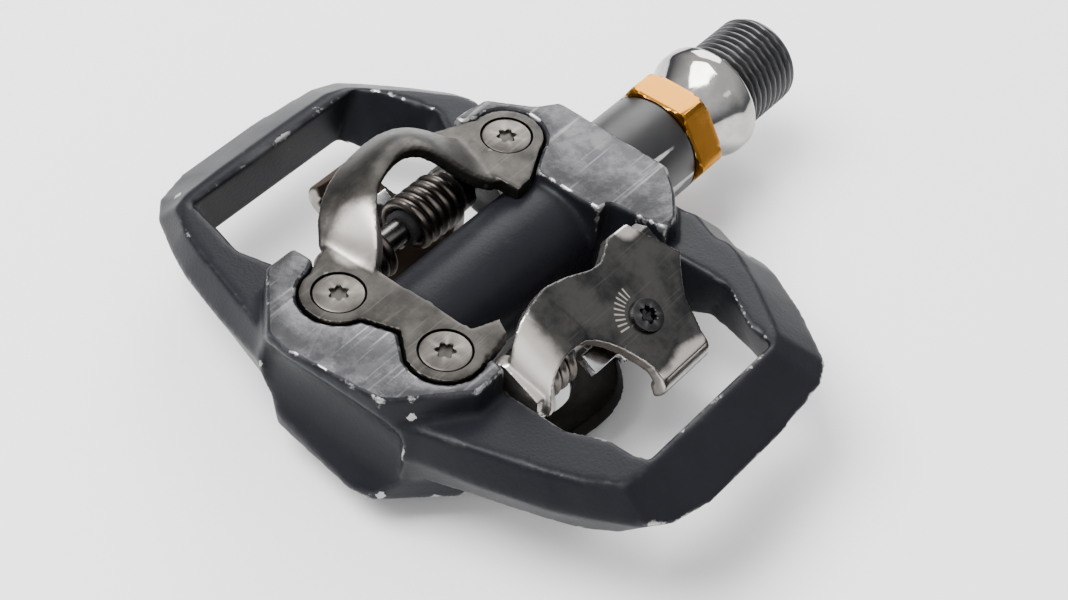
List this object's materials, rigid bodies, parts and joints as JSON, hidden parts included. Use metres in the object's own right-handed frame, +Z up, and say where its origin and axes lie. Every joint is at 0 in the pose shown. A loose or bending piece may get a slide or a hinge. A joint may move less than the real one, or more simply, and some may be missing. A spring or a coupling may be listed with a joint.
{
  "type": "clipless pedal",
  "caption": "Left-hand trail pedal with a caged aluminium body, a spring-loaded cleat clip on each face and a threaded steel spindle.",
  "frame": {"origin": "centre of the spindle shoulder face that meets the crank arm, on the spindle axis", "axes": "+X along the spindle into the crank arm, +Y towards the toe end of the top face, +Z up out of the top face"},
  "size_m": [0.0978, 0.0934, 0.0292],
  "materials": {
    "body_black": "satin black coating over forged aluminium, bare at the worn edges and on the machined side faces",
    "hook_steel": "pressed steel, satin grey, polished where the cleat rubs",
    "claw_steel": "pressed steel, satin dark grey, polished on the bent side",
    "screw_steel": "turned steel",
    "black_steel": "black oxide steel",
    "spindle_chrome": "polished chromoly steel",
    "bearing_steel": "ground bearing steel",
    "gold_anodised": "gold anodised aluminium",
    "black_anodised": "black anodised aluminium",
    "spring_steel": "dark oiled spring wire",
    "bush_plastic": "black acetal",
    "seal_rubber": "black nitrile rubber"
  },
  "bodies": {
    "spindle_unit": {"spindle": "spindle_chrome", "outboard_cone": "bearing_steel", "lock_nut": "bearing_steel"},
    "inboard_ball_row": {"inboard_balls": "bearing_steel"},
    "outboard_ball_row": {"outboard_balls": "bearing_steel"},
    "pedal_body": {"cage_body": "body_black", "bearing_sleeve": "bearing_steel", "inboard_bush": "bush_plastic", "o_ring": "seal_rubber", "dust_seal": "seal_rubber", "bearing_collar": "black_anodised", "wrench_nut": "gold_anodised", "top_toe_hook": "hook_steel", "top_hook_screws": "screw_steel", "top_pivot_pin": "black_steel", "top_pin_clips": "black_steel", "top_springs": "spring_steel", "top_spring_bushes": "bush_plastic", "bottom_toe_hook": "hook_steel", "bottom_hook_screws": "screw_steel", "bottom_pivot_pin": "black_steel", "bottom_pin_clips": "black_steel", "bottom_springs": "spring_steel", "bottom_spring_bushes": "bush_plastic"},
    "top_claw_body": {"top_claw": "claw_steel"},
    "top_adjuster": {"top_tension_screw": "black_steel"},
    "top_spring_nut": {"top_tension_plate": "hook_steel"},
    "bottom_claw_body": {"bottom_claw": "claw_steel"},
    "bottom_adjuster": {"bottom_tension_screw": "black_steel"},
    "bottom_spring_nut": {"bottom_tension_plate": "hook_steel"}
  },
  "joints": [
    {"name": "pedal_spin", "type": "hinge", "parent": "spindle_unit", "child": "pedal_body", "pos_m": [-0.055, 0, 0], "axis": [1, 0, 0], "continuous": true},
    {"name": "inboard_ball_orbit", "type": "hinge", "parent": "spindle_unit", "child": "inboard_ball_row", "pos_m": [-0.033, 0, 0], "axis": [1, 0, 0], "continuous": true},
    {"name": "outboard_ball_orbit", "type": "hinge", "parent": "spindle_unit", "child": "outboard_ball_row", "pos_m": [-0.0675, 0, 0], "axis": [1, 0, 0], "continuous": true},
    {"name": "top_claw_release", "type": "hinge", "parent": "pedal_body", "child": "top_claw_body", "pos_m": [-0.055, -0.016, 0.0015], "axis": [1, 0, 0], "range_deg": [0, 13], "stiffness_Nm_per_rad": 8, "springref_deg": -6.88},
    {"name": "top_tension_turn", "type": "hinge", "parent": "top_claw_body", "child": "top_adjuster", "pos_m": [-0.049, -0.0246, 0.0092], "axis": [0, -0.5, 0.866], "range_deg": [-450, 450]},
    {"name": "top_tension_slide", "type": "slide", "parent": "top_claw_body", "child": "top_spring_nut", "axis": [0, 0.5, -0.866], "range_m": [-0.001, 0.001]},
    {"name": "bottom_claw_release", "type": "hinge", "parent": "pedal_body", "child": "bottom_claw_body", "pos_m": [-0.055, 0.016, -0.0015], "axis": [1, 0, 0], "range_deg": [0, 13], "stiffness_Nm_per_rad": 8, "springref_deg": -6.88},
    {"name": "bottom_tension_turn", "type": "hinge", "parent": "bottom_claw_body", "child": "bottom_adjuster", "pos_m": [-0.049, 0.0246, -0.0092], "axis": [0, 0.5, -0.866], "range_deg": [-450, 450]},
    {"name": "bottom_tension_slide", "type": "slide", "parent": "bottom_claw_body", "child": "bottom_spring_nut", "axis": [0, -0.5, 0.866], "range_m": [-0.001, 0.001]}
  ],
  "couplings": [
    {"joint": "inboard_ball_orbit", "follows": "pedal_spin", "ratio": 0.629},
    {"joint": "outboard_ball_orbit", "follows": "pedal_spin", "ratio": 0.629},
    {"joint": "top_tension_turn", "follows": "top_tension_slide", "rad_per_m": 7854},
    {"joint": "bottom_tension_turn", "follows": "bottom_tension_slide", "rad_per_m": 7854}
  ]
}
